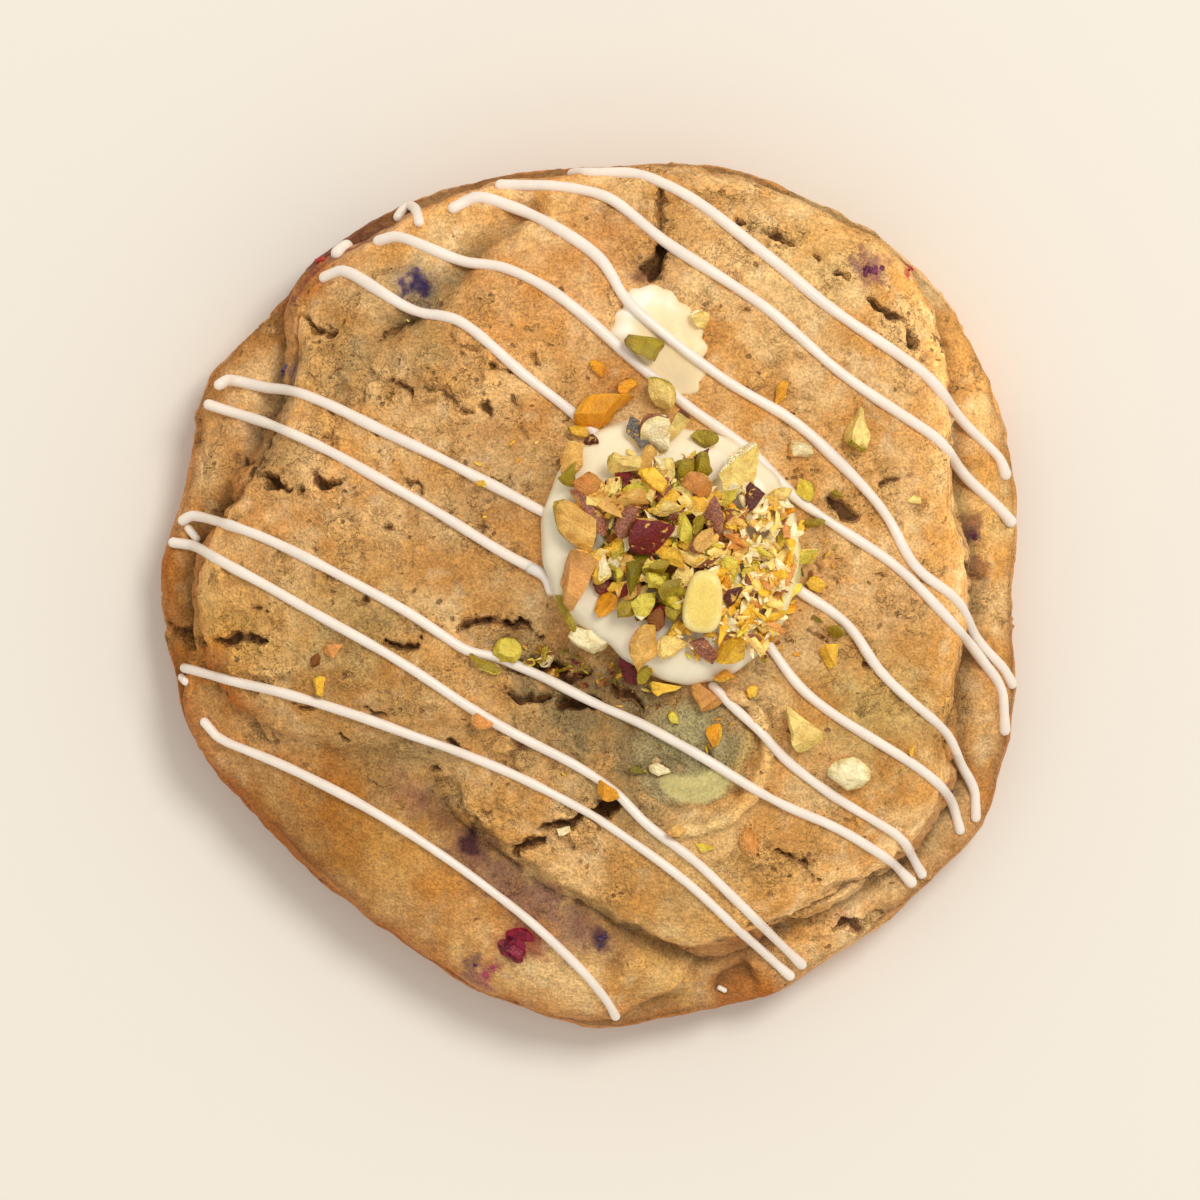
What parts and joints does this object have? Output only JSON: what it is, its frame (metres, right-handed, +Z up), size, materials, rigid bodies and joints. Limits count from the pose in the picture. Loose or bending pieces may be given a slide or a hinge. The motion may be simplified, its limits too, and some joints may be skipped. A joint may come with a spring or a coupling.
{
  "type": "pistachio cookie",
  "caption": "Thick hand-folded round cookie drizzled with white chocolate, topped with a white chocolate button under chopped pistachios.",
  "frame": {"origin": "middle of the flat underside, at the centre of the cookie's box", "axes": "+Z up out of the top, +X to the right and +Y away from the viewer when it is seen from above with the drizzle running down to the right"},
  "size_m": [0.1016, 0.1036, 0.0342],
  "materials": {
    "dough": "baked cookie dough, matt and crumbly, golden brown",
    "white_chocolate": "set white chocolate, smooth with a soft sheen",
    "pistachio": "roasted chopped pistachio, green and yellow flesh with tan and purple skins",
    "green_chocolate": "pale green pistachio chocolate, dull and dusted with dough"
  },
  "bodies": {
    "root": {"cookie": "dough", "white_button": "white_chocolate", "pistachio_heap": "pistachio", "white_chunk": "white_chocolate", "pistachio_wafer": "green_chocolate"}
  },
  "joints": []
}
